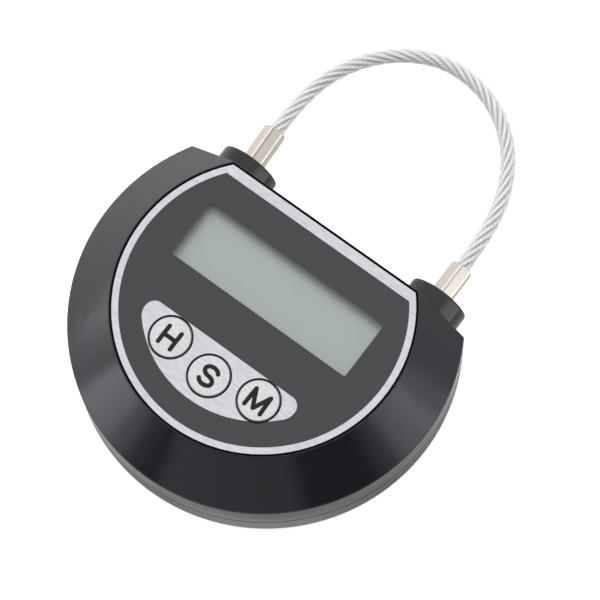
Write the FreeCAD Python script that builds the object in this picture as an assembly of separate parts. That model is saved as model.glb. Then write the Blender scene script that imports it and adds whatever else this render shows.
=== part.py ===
import FreeCAD, Part
import math
import os

# Timer padlock with a wire-rope shackle, lying on its back. Millimetres.
# Origin: centre of the round body on the back face. +Z comes out of the display face,
# +Y runs towards the shackle and +X to the release end of the rope.

V = FreeCAD.Vector
Y_AXIS = V(0, 1, 0)
Z_AXIS = V(0, 0, 1)
TOOL = 80.0  # longer than the body, for tools that cut right through
over = 1.0  # how far a cutting tool runs past the face that it opens
root = 0.3  # how far a boss or rib is sunk into the wall that carries it
near = 0.01  # what counts as the same place when edges are picked

# --- Case -------------------------------------------------------------------------------
body_radius = 32.5
flat_offset = 16.7  # body centre to the flat shackle side
wall = 1.8
floor_thickness = 1.8
parting_height = 5.3  # back face to the joint between the two shells
parting_chamfer = 0.2
bevel_width = 7.5
bevel_height = 7.8
bevel_corner = 0.6
face_corner = 0.2
back_corner = 0.6
flat_corner = 0.2
tongue_thickness = 0.8
tongue_height = 1.4
tongue_gap = 0.1
rib_thickness = 1.0
rib_height = 4.0
saddle_drop = 3.1  # rope's centre to the top of the tabs under the collars

# --- Height stack, from the floor of the rear shell up ------------------------------------
motor_lift = 1.8  # floor to the underside of the motor, which its cradle carries
motor_radius = 3.0
rack_dedendum = 0.5
bolt_thickness = 3.0
slide_gap = 0.1
cover_thickness = 0.4
pcb_gap = 0.1
pcb_thickness = 1.0
zebra_height = 1.4
lcd_thickness = 1.9
gasket_thickness = 0.3
window_ledge = 0.6
window_thickness = 0.95
panel_thickness = 0.4
foil_thickness = 0.15

# --- Face panel and display ---------------------------------------------------------------
face_lip = 0.14  # rim of the shell left standing round the panel
panel_gap = 0.36  # open groove between the rim and the panel
border_width = 1.1
border_width_flat = 1.75
window_end_margin = 7.5  # end of the display opening to the rim of the face
window_top_margin = 7.8  # display opening to the flat side
window_height = 10.6
window_corner = 0.4
ledge_step = 0.5  # ledge under the window, set back from the printed opening
window_rebate = 1.4
lcd_overlap = 1.8
lcd_fit = 0.1
frame_wall = 0.9
frame_ledge = 0.6
frame_foot = 1.6
frame_inset = 0.8
zebra_width = 1.2
zebra_inset = 0.3

# --- Keys ---------------------------------------------------------------------------------
key_radius = 3.37
key_gap = 0.36
key_pitch = 8.85
key_rise = 0.12
key_dome = 0.18
key_travel = 0.35
key_edge = 0.15
key_flange_radius = 4.0
key_flange = 0.9
key_top_gap = 0.1
key_stem_radius = 1.3
key_stem_room = 0.2
side_key_lift = 1.45
patch_radius = 19.4
patch_half_width = 15.0
patch_shift = 0.35  # how far to the left of the middle the foil lies
patch_rim = 1.2
patch_top_gap = 0.05
patch_top_corner = 1.8
patch_low_corner = 2.8
patch_corner_share = 0.65  # most of the foil's short side that its top corner takes
switch_size = 4.5
switch_height = 1.5
switch_corner = 0.4
switch_tab = 0.6
switch_tab_width = 0.8
switch_tab_pitch = 2.8
switch_tab_height = 0.2
well_room = 0.15
plunger_radius = 1.6
plunger_gap = 0.08
plunger_depth = 0.7

# --- Shackle ------------------------------------------------------------------------------
release_inset = 11.95  # body's width to the release end of the rope
anchor_inset = 14.45  # body's width to the captive end
collar_radius = 5.3
collar_reach = 3.3
collar_edge = 0.4
collar_neck_radius = 4.6
collar_flange_radius = 5.6
collar_flange = 1.3
collar_flange_gap = 0.15
collar_slot_gap = 0.05
pin_radius = 3.0
pin_fit = 0.06
groove_radius = 1.3
groove_width = 4.4
pin_land = 1.4  # full-width land between the plug's nose and its groove
pin_nose = 1.2
nose_gap = 1.1
hex_width = 3.65
hex_length = 8.0
hex_edge = 0.35
hex_sunk = 0.1  # how far inside the flats the barrel's root is
hex_round = 0.3
release_turn = 3.0  # degrees that a corner of the hexagon leans inwards from straight up
anchor_turn = 10.0
anchor_sink = 0.8  # hexagon below the mouth of the anchor collar
release_sink = 1.7
anchor_lean = 3.0  # degrees that the rope pushes the captive barrel outwards
rope_radius = 1.3
rope_fit = 0.06
rope_grip = 4.8
sleeve_wall = 0.64
sleeve_seat = 2.4
clip_radius = 4.4
clip_thickness = 0.7
clip_groove_radius = 2.3
clip_mouth = 0.8  # half the clip's mouth as a share of its bore's radius
stud_tail = 1.9
stud_edge = 0.4

# The rope between its ends, as chosen for an easy spring curve (x, y).
rope_crown = [
    (-17.0, 41.5),
    (-11.5, 49.4),
    (-3.2, 54.1),
    (6.2, 53.5),
    (14.2, 48.5),
    (19.1, 40.3),
]
rope_anchor_run = 9.6
rope_release_run = 9.4
bend_share = 0.45  # share of its shorter run that a bend takes up

# --- Latch drive --------------------------------------------------------------------------
gear_module = 0.5
pinion_teeth = 8
pressure_angle = 25.0
tooth_height = 0.4
tooth_play = 0.2
rack_first = -3
rack_last = 1
rack_face = 2.0
bolt_width = 3.2
bolt_length = 12.2
bolt_retreat = 0.35
bolt_stand_off = 0.3
bolt_nose = 0.4
bolt_setback = 8.7  # flat side to the middle of the bolt
pinion_setback = 6.65  # tip of the bolt to the pinion
pinion_room = 0.35
rack_room = 0.25
shaft_room = 0.15
shaft_radius = 0.75
shaft_fit = 0.08
housing_wall = 1.3
housing_end = 0.8
housing_margin = 4.5
housing_overlap = 1.0
cover_tab_width = 2.0
cover_tab_inset = 0.4
cover_tab_drop = 2.0
motor_length = 14.5
motor_neck = 1.0
motor_step = 0.25  # how much slimmer the can's neck and joint groove are
motor_rim = 0.6
motor_rim_length = 0.4
gear_head_length = 5.0
gear_head_groove = 0.2
terminal_width = 1.0
terminal_length = 0.9
terminal_thickness = 0.3
terminal_pitch = 2.6
shaft_grip = 1.4
shaft_end_gap = 0.2
cradle_setback = 0.5
cradle_width = 1.6
cradle_wall = 0.7
cradle_drop = 0.8
strap_width = 3.0
strap_thickness = 0.4
strap_reach = 5.3
strap_setback = 8.6

# --- Electronics --------------------------------------------------------------------------
pcb_edge_gap = 0.5
notch_gap = 0.5
chip_size = 7.0
chip_height = 1.4
chip_leads = 8
chip_stand = 0.1
chip_edge = 0.2
chip_to_latch = 12.1  # gearcase to the middle of the chip
chip_to_flat = 18.7
lead_width = 0.3
lead_thickness = 0.2
lead_reach = 0.6
lead_drop = 0.5
socket_half_width = 3.8
socket_height = 2.6
socket_depth = 4.8
socket_recess = 0.5
socket_room = 0.4
socket_slope = 1.1
socket_sheet = 0.3
socket_back = 0.8
socket_tongue_half = 1.9
socket_tongue_height = 0.6
socket_tongue_gap = 0.7
cell_length = 30.0
cell_width = 12.0
cell_height = 5.0
cell_edge = 1.2
tape_thickness = 0.2
tape_inset = 2.0
cell_gap = 0.1
fence_height = 2.2
fence_thickness = 0.8
fence_side_length = 6.0
fence_end_length = 5.0

# --- Fasteners ----------------------------------------------------------------------------
post_radius = 2.5
rear_post_radius = 3.2
post_inset = 0.6
case_screw_angles = (0.0, 180.0, -42.0, -138.0)
case_head_radius = 1.9
case_head_height = 1.5
case_head_sink = 0.35
case_shaft_radius = 0.95
case_shaft_length = 10.4
case_hole_radius = 1.2
case_pilot_room = 0.6
head_gap = 0.2
board_post_radius = 2.0
board_post_inset = 1.2
board_screw_angles = (-14.6, 194.6, -90.0)
small_head_radius = 1.5
small_head_height = 1.0
small_shaft_radius = 0.75
small_shaft_length = 3.6
small_hole_radius = 0.9
small_pilot_room = 0.3
floor_left = 0.5  # floor left under a screw that runs down into it
pad_height = 1.4
pad_radius = 1.8
head_rounding = 0.35  # rounding and cross recess of a screw, as shares of its head
cross_length = 0.62
cross_width = 0.15
cross_depth = 0.5
ear_thickness = 1.2
foot_thickness = 0.4

# --- Worked-out places --------------------------------------------------------------------
pitch_radius = gear_module * pinion_teeth / 2
motor_z = floor_thickness + motor_lift + motor_radius
rack_z = motor_z + pitch_radius
bolt_z = rack_z + rack_dedendum
rope_z = bolt_z + bolt_thickness / 2
housing_top = bolt_z + bolt_thickness + slide_gap
pcb_z = housing_top + cover_thickness + pcb_gap
pcb_top = pcb_z + pcb_thickness
lcd_z = pcb_top + zebra_height
lcd_top = lcd_z + lcd_thickness
ceiling = lcd_top + gasket_thickness
window_z = ceiling + window_ledge
panel_z = window_z + window_thickness
foil_z = panel_z + panel_thickness
face_z = foil_z + foil_thickness

release_x = body_radius - release_inset
anchor_x = anchor_inset - body_radius
face_radius = body_radius - bevel_width
bevel_z = face_z - bevel_height
panel_radius = face_radius - face_lip - panel_gap
panel_flat = flat_offset - face_lip - panel_gap
inner_radius = body_radius - wall
inner_flat = flat_offset - wall
rear_radius = inner_radius - tongue_gap - tongue_thickness
rear_flat = inner_flat - tongue_gap - tongue_thickness

window_half = face_radius - window_end_margin
window_y1 = flat_offset - window_top_margin
window_y0 = window_y1 - window_height
lcd_half = window_half + lcd_overlap
lcd_y0 = window_y0 - lcd_overlap
lcd_y1 = window_y1 + lcd_overlap
frame_grow = lcd_fit + frame_wall
frame_y1 = lcd_y1 + frame_grow

key_hole_radius = key_radius + key_gap
set_key_y = -(patch_radius - patch_rim - key_hole_radius)
side_key_y = set_key_y + side_key_lift
key_places = {
    "hour": (-key_pitch, side_key_y),
    "set": (0.0, set_key_y),
    "minute": (key_pitch, side_key_y),
}
flange_top = ceiling - key_top_gap
flange_z = flange_top - key_flange
switch_top = pcb_top + switch_height
plunger_z = switch_top - plunger_depth

collar_y = flat_offset + collar_reach
flange_y = inner_flat - collar_flange
sleeve_radius = pin_radius + pin_fit + sleeve_wall
sleeve_end = flange_y + sleeve_seat
release_hex_y = collar_y - release_sink
anchor_hex_y = collar_y - anchor_sink
clip_y = flange_y - clip_thickness
stud_y = clip_y - stud_tail

bolt_y = flat_offset - bolt_setback
land_y = bolt_y - groove_width / 2 - pin_land
pin_y = land_y - pin_nose
sleeve_y = pin_y - nose_gap - sleeve_wall
bolt_tip = release_x - pin_radius - bolt_retreat
latch_travel = pin_radius + bolt_retreat - groove_radius - bolt_stand_off
pinion_x = bolt_tip - pinion_setback
bolt_tail = bolt_tip - bolt_length
rack_pitch = math.pi * gear_module
housing_x = bolt_tail - slide_gap - housing_end
housing_x1 = release_x + housing_margin
channel_x1 = release_x - sleeve_radius - bolt_stand_off
channel_half = bolt_width / 2 + slide_gap
housing_y = bolt_y - channel_half - housing_wall
housing_y1 = bolt_y + channel_half + housing_wall
motor_y = housing_y - motor_length
strap_y = housing_y - strap_setback
cell_y = -math.sqrt((rear_radius - tongue_gap * 3) ** 2 - (cell_length / 2) ** 2)
cell_z = floor_thickness + tape_thickness
socket_x = (release_x + anchor_x) / 2
socket_y1 = flat_offset - socket_recess
socket_z = pcb_z - socket_height
chip_centre = V(housing_x - chip_to_latch, flat_offset - chip_to_flat, pcb_z)
post_circle = rear_radius - rear_post_radius + post_inset
board_circle = face_radius - board_post_inset
pad_top = floor_thickness + pad_height
ear_top = pad_top + ear_thickness
ear_places = (
    V(housing_x - pad_radius, bolt_y, 0),
    V(channel_x1 - slide_gap, housing_y - pad_radius, 0),
)
strap_places = (
    V(pinion_x - strap_reach, strap_y + strap_width / 2, 0),
    V(pinion_x + strap_reach, strap_y + strap_width / 2, 0),
)


# --- Shape helpers ------------------------------------------------------------------------
def block(x0, x1, y0, y1, z0, z1):
    return Part.makeBox(x1 - x0, y1 - y0, z1 - z0, V(x0, y0, z0))


def rod(radius, start, axis, length):
    return Part.makeCylinder(radius, length, start, axis)


def y_rod(radius, x, z, y0, y1):
    return rod(radius, V(x, y0, z), Y_AXIS, y1 - y0)


def z_rod(radius, place, z0, z1):
    return rod(radius, V(place[0], place[1], z0), Z_AXIS, z1 - z0)


def join(shapes):
    whole = shapes[0].fuse(shapes[1:])
    return whole.removeSplitter()


def rounded_block(x0, x1, y0, y1, z0, z1, corner):
    solid = block(x0, x1, y0, y1, z0, z1)
    upright = [e for e in solid.Edges if abs(e.tangentAt(e.FirstParameter).z) > 0.9]
    return solid.makeFillet(corner, upright)


def d_plate(radius, flat, z0, z1):
    """A disc with one flat side, across +Y."""
    disc = z_rod(radius, (0, 0), z0, z1)
    return disc.common(block(-TOOL, TOOL, -TOOL, flat, z0, z1))


def spin_z(points, arcs=()):
    """Solid of revolution about Z from (radius, height) corners. Each of arcs rounds one corner."""
    rounds = dict(arcs)
    edges = []
    starts = []
    for i, corner in enumerate(points):
        here = V(corner[0], 0, corner[1])
        before = V(points[i - 1][0], 0, points[i - 1][1])
        after = V(points[(i + 1) % len(points)][0], 0, points[(i + 1) % len(points)][1])
        if i not in rounds:
            starts.append((here, here))
            continue
        back = (before - here).normalize()
        on = (after - here).normalize()
        half = back.getAngle(on) / 2
        reach = rounds[i] / math.tan(half)
        first = here + back * reach
        last = here + on * reach
        middle = here + (back + on).normalize() * (rounds[i] / math.sin(half) - rounds[i])
        edges.append(Part.Arc(first, middle, last).toShape())
        starts.append((first, last))
    for i, (first, last) in enumerate(starts):
        edges.append(Part.LineSegment(starts[i - 1][1], first).toShape())
    profile = Part.Face(Part.Wire(Part.__sortEdges__(edges)))
    return profile.revolve(V(0, 0, 0), Z_AXIS, 360)


def spin_y(points, x, z):
    """Solid of revolution about the line along Y through (x, z), from (radius, y) corners."""
    outline = Part.makePolygon([V(x + r, y, z) for r, y in points + points[:1]])
    return Part.Face(outline).revolve(V(x, 0, z), Y_AXIS, 360)


def ring_places(radius, angles):
    turns = [math.radians(a) for a in angles]
    return [V(radius * math.cos(t), radius * math.sin(t), 0) for t in turns]


def bevel_inner_radius(z):
    """Radius of the inside of the shell at height z."""
    slant = math.hypot(bevel_width, bevel_height)
    on_bevel = body_radius - (wall * slant + (z - bevel_z) * bevel_width) / bevel_height
    return min(inner_radius, on_bevel)


def save(name, shape):
    if not shape.isValid() or not shape.Solids:
        raise ValueError(name + " isn't a valid solid")
    shape.exportStep("parts/" + name + ".step")
    print(f"{name:18s} {len(shape.Solids)} solid(s) {shape.Volume:9.2f} mm3")


case_posts = ring_places(post_circle, case_screw_angles)
board_posts = ring_places(board_circle, board_screw_angles)


# --- Case shells --------------------------------------------------------------------------
def shell_outside():
    """The upper shell as a full solid: turned, bevelled, then cut flat on the shackle side."""
    profile = [
        (0, parting_height),
        (body_radius - parting_chamfer, parting_height),
        (body_radius, parting_height + parting_chamfer),
        (body_radius, bevel_z),
        (face_radius, face_z),
        (0, face_z),
    ]
    turned = spin_z(profile, arcs=((3, bevel_corner), (4, face_corner)))
    solid = turned.common(block(-TOOL, TOOL, -TOOL, flat_offset, 0, TOOL))
    rim = [
        e
        for e in solid.Edges
        if abs(e.BoundBox.YMin - flat_offset) < near
        and e.BoundBox.ZMax > parting_height + parting_chamfer + near
    ]
    return solid.makeFillet(flat_corner, rim)


def shell_cavity():
    """Everything inside the upper shell's wall, up to its ceiling."""
    below = parting_height - over
    corner = bevel_z + wall * (bevel_height - math.hypot(bevel_width, bevel_height)) / bevel_width
    profile = [
        (0, below),
        (inner_radius, below),
        (inner_radius, corner),
        (bevel_inner_radius(ceiling), ceiling),
        (0, ceiling),
    ]
    return spin_z(profile).common(block(-TOOL, TOOL, -TOOL, inner_flat, 0, TOOL))


def window_outline(grow, z0, z1):
    return rounded_block(
        -window_half - grow,
        window_half + grow,
        window_y0 - grow,
        window_y1 + grow,
        z0,
        z1,
        window_corner + grow / 2,
    )


def key_cutters(radius, z0, z1):
    return [z_rod(radius, place, z0, z1) for place in key_places.values()]


def collar_slots():
    """Round slots in the flat wall, open at the parting line so that the collars drop in."""
    slots = []
    for x in (release_x, anchor_x):
        radius = collar_neck_radius + collar_slot_gap
        y0 = inner_flat - collar_slot_gap
        y1 = flat_offset + collar_slot_gap
        slots.append(y_rod(radius, x, rope_z, y0, y1))
        slots.append(block(x - radius, x + radius, y0, y1, parting_height - over, rope_z))
    return slots


def flange_room(x):
    """Space behind the flat wall for a collar's flange."""
    reach = collar_flange_radius + collar_flange_gap
    return y_rod(reach, x, rope_z, flange_y - collar_flange_gap, inner_flat)


def socket_outline(grow, y0, y1):
    """Outline of the charging socket, wider at the board side, run along Y."""
    half = socket_half_width + grow
    top = pcb_z + grow
    low = socket_z - grow
    corners = [
        V(socket_x - half, y0, top),
        V(socket_x + half, y0, top),
        V(socket_x + half, y0, low + socket_slope),
        V(socket_x + half - socket_slope, y0, low),
        V(socket_x - half + socket_slope, y0, low),
        V(socket_x - half, y0, low + socket_slope),
    ]
    outline = Part.makePolygon(corners + corners[:1])
    return Part.Face(outline).extrude(V(0, y1 - y0, 0))


def front_shell():
    outside = shell_outside()
    hollow = outside.cut(shell_cavity())
    posts = [z_rod(post_radius, p, parting_height, face_z) for p in case_posts]
    posts += [z_rod(board_post_radius, p, pcb_top, face_z) for p in board_posts]
    for p in case_posts:
        out = V(p.x, p.y, 0).normalize()
        reach = inner_radius - post_circle + root
        half = rib_thickness / 2
        rib = block(0, reach, -half, half, pcb_z - rib_height, pcb_z)
        rib.rotate(V(0, 0, 0), Z_AXIS, math.degrees(math.atan2(out.y, out.x)))
        rib.translate(V(p.x, p.y, 0))
        posts.append(rib)
    posts = [p.common(outside) for p in posts]
    shell = join([hollow] + posts)
    cuts = [
        d_plate(panel_radius + panel_gap, panel_flat + panel_gap, panel_z, face_z + over),
        window_outline(window_rebate, window_z, face_z),
        window_outline(ledge_step, ceiling - over, face_z),
    ]
    cuts += key_cutters(key_hole_radius, ceiling - over, face_z)
    cuts += collar_slots()
    cuts += [flange_room(x) for x in (release_x, anchor_x)]
    cuts.append(socket_outline(socket_room, inner_flat - over, flat_offset + over))
    pilot_top = case_head_sink + case_head_height + case_shaft_length + case_pilot_room
    cuts += [z_rod(case_shaft_radius, p, parting_height - over, pilot_top) for p in case_posts]
    board_pilot = pcb_z + small_shaft_length + small_pilot_room
    cuts += [z_rod(small_shaft_radius, p, pcb_top - over, board_pilot) for p in board_posts]
    return shell.cut(cuts)


def rear_saddle(x):
    """Tab that closes the foot of a collar slot and cradles the collar's neck."""
    half = collar_neck_radius - collar_slot_gap
    z1 = rope_z - saddle_drop
    tab = block(x - half, x + half, inner_flat, flat_offset, parting_height - root, z1)
    return tab.cut(y_rod(collar_neck_radius + collar_slot_gap, x, rope_z, 0, TOOL))


def cell_fence():
    """Ribs on the floor that keep the cell in place."""
    half = cell_length / 2
    z1 = floor_thickness + fence_height
    z0 = floor_thickness - root
    top = cell_y + cell_width + cell_gap
    run = fence_side_length / 2
    end = fence_end_length / 2
    ribs = []
    for side in (-1, 1):
        x = side * half / 2
        ribs.append(block(x - run, x + run, top, top + fence_thickness, z0, z1))
        middle = side * (half + cell_gap + fence_thickness / 2)
        x0 = middle - fence_thickness / 2
        y = cell_y + cell_width / 2
        ribs.append(block(x0, x0 + fence_thickness, y - end, y + end, z0, z1))
    return ribs


def motor_cradle():
    y0 = motor_y + motor_neck + cradle_setback
    y1 = y0 + cradle_width
    x0 = pinion_x - motor_radius - cradle_wall
    x1 = pinion_x + motor_radius + cradle_wall
    cradle = block(x0, x1, y0, y1, floor_thickness - root, motor_z - cradle_drop)
    return cradle.cut(y_rod(motor_radius, pinion_x, motor_z, y0 - over, y1 + over))


def rear_shell():
    profile = [
        (0, 0),
        (body_radius, 0),
        (body_radius, parting_height - parting_chamfer),
        (body_radius - parting_chamfer, parting_height),
        (0, parting_height),
    ]
    turned = spin_z(profile, arcs=((1, back_corner),))
    base = turned.common(block(-TOOL, TOOL, -TOOL, flat_offset, -over, TOOL))
    tongue_top = parting_height + tongue_height
    tongue = d_plate(inner_radius - tongue_gap, inner_flat - tongue_gap, floor_thickness, tongue_top)
    base = join([base, tongue])
    base = base.cut(d_plate(rear_radius, rear_flat, floor_thickness, TOOL))
    for x in (release_x, anchor_x):
        base = base.cut(flange_room(x))
        reach = collar_flange_radius + 3 * collar_flange_gap
        clear = block(x - reach, x + reach, 0, inner_flat, parting_height, TOOL)
        base = base.cut(clear)
    floor = floor_thickness - root
    posts = [z_rod(rear_post_radius, p, floor, parting_height) for p in case_posts]
    room = post_radius + head_gap
    base = base.cut([z_rod(room, p, parting_height, TOOL) for p in case_posts])
    pads = [z_rod(pad_radius, p, floor, pad_top) for p in ear_places + strap_places]
    extras = [rear_saddle(release_x), rear_saddle(anchor_x), motor_cradle()]
    base = join([base] + posts + pads + extras + cell_fence())
    bore = case_head_radius + head_gap
    cuts = []
    for p in case_posts:
        cuts.append(z_rod(bore, p, -over, case_head_sink + case_head_height))
        cuts.append(z_rod(case_hole_radius, p, -over, TOOL))
    for p in ear_places:
        cuts.append(z_rod(small_shaft_radius, p, ear_top - small_shaft_length, TOOL))
    for p in strap_places:
        cuts.append(z_rod(small_shaft_radius, p, floor_left, TOOL))
    return base.cut(cuts)


# --- Face ---------------------------------------------------------------------------------
def face_panel():
    plate = d_plate(panel_radius, panel_flat, panel_z, foil_z)
    cuts = [window_outline(0, panel_z - over, foil_z + over)]
    cuts += key_cutters(key_hole_radius, panel_z - over, foil_z + over)
    return plate.cut(cuts)


def foil_border():
    outer = d_plate(panel_radius, panel_flat, foil_z, face_z)
    radius = panel_radius - border_width
    flat = panel_flat - border_width_flat
    inner = d_plate(radius, flat, foil_z - over, face_z + over)
    return outer.cut(inner)


def foil_key_patch():
    """Silver foil behind the keys: a straight top edge, round ends and an arc at the bottom."""
    top = side_key_y + key_hole_radius - patch_top_gap
    x0 = -patch_shift - patch_half_width
    x1 = -patch_shift + patch_half_width
    arc = z_rod(patch_radius, (-patch_shift, 0), foil_z, face_z)
    patch = arc.common(block(x0, x1, -TOOL, top, foil_z, face_z))
    side = top + math.sqrt(patch_radius**2 - patch_half_width**2)
    bend = math.acos(patch_half_width / patch_radius)
    high_corner = min(patch_top_corner, side * patch_corner_share)
    low_room = side - high_corner - 2 * near
    low_corner = min(patch_low_corner, low_room / math.tan(bend / 2))
    upright = [e for e in patch.Edges if e.BoundBox.ZLength > foil_thickness / 2]
    high = [e for e in upright if e.BoundBox.YMax > top - near]
    patch = patch.makeFillet(high_corner, high)
    upright = [e for e in patch.Edges if e.BoundBox.ZLength > foil_thickness / 2]
    low = [e for e in upright if e.BoundBox.YMax < top - high_corner - near]
    patch = patch.makeFillet(low_corner, low)
    return patch.cut(key_cutters(key_hole_radius, foil_z - over, face_z + over))


def display_window():
    fit = window_rebate - lcd_fit
    return window_outline(fit, window_z, panel_z)


# --- Display and circuit board --------------------------------------------------------------
def lcd_gasket():
    outer = block(-lcd_half, lcd_half, lcd_y0, lcd_y1, lcd_top, ceiling)
    return outer.cut(window_outline(ledge_step, lcd_top - over, ceiling + over))


def lcd_panel():
    """Two bonded glass plates; the lower one is longer on the contact side."""
    middle = lcd_z + lcd_thickness / 2
    lower = block(-lcd_half, lcd_half, lcd_y0, lcd_y1, lcd_z, middle)
    upper = block(-lcd_half, lcd_half, lcd_y0 + zebra_width, lcd_y1, middle, lcd_top)
    return join([lower, upper])


def lcd_frame():
    z0 = lcd_z - frame_ledge
    x1 = lcd_half + frame_grow
    y0 = lcd_y0 - frame_grow
    outer = block(-x1, x1, y0, frame_y1, z0, lcd_top - lcd_fit)
    pocket_half = lcd_half + lcd_fit
    under_half = lcd_half - frame_inset
    low = lcd_y0 - lcd_fit
    pocket = block(-pocket_half, pocket_half, low, lcd_y1 + lcd_fit, lcd_z, TOOL)
    under = block(-under_half, under_half, low, lcd_y1 - frame_inset, z0 - over, lcd_z + over)
    frame = outer.cut([pocket, under])
    half = frame_foot / 2
    spots = [(x, y0) for x in (-lcd_half, 0.0, lcd_half)]
    spots += [(x, frame_y1 - frame_wall) for x in (-lcd_half / 2, 0.0, lcd_half / 2)]
    feet = [block(x - half, x + half, y, y + frame_wall, pcb_top, z0) for x, y in spots]
    return join([frame] + feet)


def zebra_strip():
    y0 = lcd_y0 + zebra_inset
    return block(-window_half, window_half, y0, y0 + zebra_width, pcb_top, lcd_z)


def main_pcb():
    radius = bevel_inner_radius(pcb_top) - pcb_edge_gap
    board = d_plate(radius, inner_flat - pcb_edge_gap, pcb_z, pcb_top)
    cuts = []
    reach = sleeve_radius + notch_gap
    cuts.append(block(release_x - reach, TOOL, sleeve_y - notch_gap, TOOL, 0, TOOL))
    reach = clip_radius + notch_gap
    cuts.append(block(-TOOL, anchor_x + reach, stud_y - notch_gap, TOOL, 0, TOOL))
    reach = collar_flange_radius + notch_gap
    for x in (release_x, anchor_x):
        cuts.append(block(x - reach, x + reach, flange_y - notch_gap, TOOL, 0, TOOL))
    cuts += [z_rod(post_radius + notch_gap, p, 0, TOOL) for p in case_posts]
    cuts += [z_rod(small_hole_radius, p, 0, TOOL) for p in board_posts]
    return board.cut(cuts)


def controller_chip():
    """Flat pack on the underside of the board, with gull-wing leads on all four sides."""
    half = chip_size / 2
    z0 = -chip_height
    body = block(-half, half, -half, half, z0, -chip_stand)
    body = body.makeChamfer(chip_edge, [e for e in body.Edges if abs(e.BoundBox.ZMax - z0) < near])
    pieces = [body]
    step = chip_size / (chip_leads + 1)
    out = half + lead_reach
    for i in range(chip_leads):
        y0 = -half + step * (i + 1) - lead_width / 2
        y1 = y0 + lead_width
        shoulder = block(half - chip_stand, out, y0, y1, -lead_drop - lead_thickness, -lead_drop)
        drop = block(out - lead_thickness, out, y0, y1, -lead_drop - lead_thickness, 0)
        foot = block(out - lead_thickness, out + lead_reach, y0, y1, -lead_thickness, 0)
        for side in (0, 90, 180, 270):
            for bar in (shoulder, drop, foot):
                pieces.append(bar.rotated(V(0, 0, 0), Z_AXIS, side))
    chip = join(pieces)
    chip.translate(chip_centre)
    return chip


def tact_switches():
    half = switch_size / 2
    tab_half = switch_tab_width / 2
    out = half + switch_tab
    tab_top = pcb_top + switch_tab_height
    well_z = plunger_z - key_travel - well_room
    switches = []
    for x, y in key_places.values():
        body = rounded_block(
            x - half, x + half, y - half, y + half, pcb_top, switch_top, switch_corner
        )
        parts = [body]
        for middle in (y - switch_tab_pitch / 2, y + switch_tab_pitch / 2):
            y0 = middle - tab_half
            parts.append(block(x - out, x + out, y0, y0 + switch_tab_width, pcb_top, tab_top))
        well = z_rod(plunger_radius + plunger_gap, (x, y), well_z, switch_top + over)
        switches.append(join(parts).cut(well))
    return Part.makeCompound(switches)


def charge_socket():
    """Pressed-steel socket under the board, its mouth just inside the flat side."""
    y0 = socket_y1 - socket_depth
    back = y0 + socket_back
    shell = socket_outline(0, y0, socket_y1)
    bore = socket_outline(-socket_sheet, back, socket_y1 + over)
    x0 = socket_x - socket_tongue_half
    x1 = socket_x + socket_tongue_half
    z1 = pcb_z - socket_tongue_gap
    tongue = block(x0, x1, back - root, socket_y1 - socket_back, z1 - socket_tongue_height, z1)
    return join([shell.cut(bore), tongue])


def battery_cell():
    half = cell_length / 2
    cell = block(-half, half, cell_y, cell_y + cell_width, cell_z, cell_z + cell_height)
    along = [e for e in cell.Edges if e.BoundBox.XLength > cell_length / 2]
    return cell.makeFillet(cell_edge, along)


def battery_tape():
    half = cell_length / 2 - tape_inset
    y0 = cell_y + tape_inset
    y1 = cell_y + cell_width - tape_inset
    return block(-half, half, y0, y1, floor_thickness, cell_z)


# --- Keys -----------------------------------------------------------------------------------
def key_cap(place):
    """Turned key: domed cap, retaining flange under the ceiling and a stem to its switch."""
    top = face_z + key_rise
    stem_z = switch_top + key_travel + key_stem_room
    profile = [
        (0, stem_z),
        (key_stem_radius, stem_z),
        (key_stem_radius, flange_z),
        (key_flange_radius, flange_z),
        (key_flange_radius, flange_top),
        (key_radius, flange_top),
        (key_radius, top),
        (key_radius * 0.55, top + key_dome * 0.75),
        (0, top + key_dome),
    ]
    cap = spin_z(profile, arcs=((6, key_edge), (7, key_radius * 4)))
    cap.translate(V(place[0], place[1], 0))
    return cap


def key_plunger(place):
    return z_rod(plunger_radius, place, plunger_z, switch_top + key_travel + key_stem_room)


# --- Latch drive ------------------------------------------------------------------------------
def involute(base, radius):
    """Angle that an involute has swept when it reaches a radius."""
    roll = math.sqrt(max(0.0, (radius / base) ** 2 - 1))
    return roll - math.atan(roll)


def drive_pinion():
    """Involute pinion cut on its shaft. A gap between teeth faces the rack at rest."""
    base = pitch_radius * math.cos(math.radians(pressure_angle))
    tip = pitch_radius + tooth_height
    root = pitch_radius - rack_dedendum
    half_at_pitch = (rack_pitch / 2 - tooth_play / 2) / (2 * pitch_radius)
    half_at_base = half_at_pitch + involute(base, pitch_radius)
    flank = [(root, half_at_base + 0.04), (base, half_at_base)]
    for share in (0.35, 0.7, 1.0):
        radius = base + (tip - base) * share
        flank.append((radius, half_at_base - involute(base, radius)))
    corners = []
    step = 2 * math.pi / pinion_teeth
    for tooth in range(pinion_teeth):
        middle = math.pi / 2 + (tooth + 0.5) * step
        for radius, angle in flank:
            corners.append((radius, middle - angle))
        for radius, angle in reversed(flank):
            corners.append((radius, middle + angle))
    y0 = bolt_y - rack_face / 2
    points = [
        V(pinion_x + r * math.cos(a), y0, motor_z + r * math.sin(a)) for r, a in corners
    ]
    outline = Part.makePolygon(points + points[:1])
    gear = Part.Face(outline).extrude(V(0, rack_face, 0))
    shaft_end = housing_y1 - 2 * shaft_room
    shaft = y_rod(shaft_radius, pinion_x, motor_z, housing_y - shaft_grip, shaft_end)
    return join([gear, shaft])


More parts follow.
